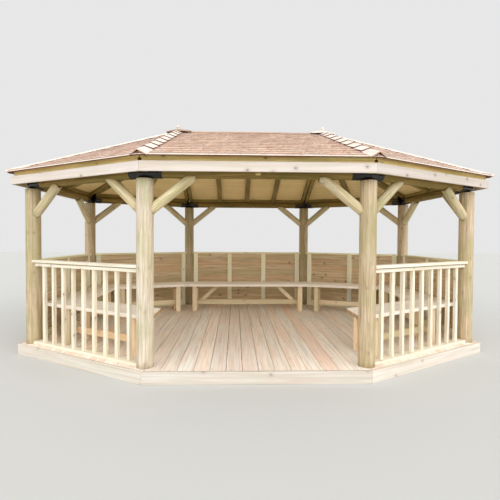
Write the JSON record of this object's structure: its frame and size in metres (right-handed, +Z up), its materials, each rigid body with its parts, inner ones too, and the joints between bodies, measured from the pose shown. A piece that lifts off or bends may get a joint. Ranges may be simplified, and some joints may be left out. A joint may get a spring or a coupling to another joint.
{
  "type": "garden gazebo",
  "caption": "Timber garden gazebo on a low deck: round posts and braces, hipped shingle roof, baluster panels in front, boarded half walls behind, benches round the inside.",
  "frame": {"origin": "on the ground, under the middle of the deck", "axes": "+X to the right seen from the entrance, along the ridge; +Y from the entrance to the back; +Z up"},
  "size_m": [5.7068, 4.064, 2.9647],
  "materials": {
    "post_timber": "matte",
    "frame_timber": "matte",
    "ceiling_timber": "matte",
    "rail_timber": "matte",
    "wall_timber": "matte",
    "bench_timber": "matte",
    "deck_timber": "matte",
    "shingles": "matte",
    "cap_timber": "matte",
    "bracket_black": "semi-gloss"
  },
  "bodies": {
    "root": {"left_front_post": "post_timber", "front_left_post": "post_timber", "front_right_post": "post_timber", "right_front_post": "post_timber", "right_back_post": "post_timber", "back_right_post": "post_timber", "back_left_post": "post_timber", "left_back_post": "post_timber", "front_left_beam": "frame_timber", "front_beam": "frame_timber", "front_right_beam": "frame_timber", "right_beam": "frame_timber", "back_right_beam": "frame_timber", "back_beam": "frame_timber", "back_left_beam": "frame_timber", "left_beam": "frame_timber", "left_knee_braces": "post_timber", "right_knee_braces": "post_timber", "post_brackets": "bracket_black", "front_left_roof_panel": "ceiling_timber", "front_roof_panel": "ceiling_timber", "front_right_roof_panel": "ceiling_timber", "right_roof_panel": "ceiling_timber", "back_right_roof_panel": "ceiling_timber", "back_roof_panel": "ceiling_timber", "back_left_roof_panel": "ceiling_timber", "left_roof_panel": "ceiling_timber", "fascia_boards": "rail_timber", "roof_shingles": "shingles", "hip_caps": "cap_timber", "ridge_caps": "cap_timber", "deck_joists": "deck_timber", "deck_floor": "deck_timber", "deck_skirt": "deck_timber", "right_half_wall": "wall_timber", "back_right_half_wall": "wall_timber", "back_half_wall": "wall_timber", "back_left_half_wall": "wall_timber", "left_half_wall": "wall_timber", "front_left_balustrade": "rail_timber", "front_right_balustrade": "rail_timber", "front_right_bench": "bench_timber", "right_bench": "bench_timber", "back_right_bench": "bench_timber", "back_bench": "bench_timber", "back_left_bench": "bench_timber", "left_bench": "bench_timber", "front_left_bench": "bench_timber"}
  },
  "joints": []
}
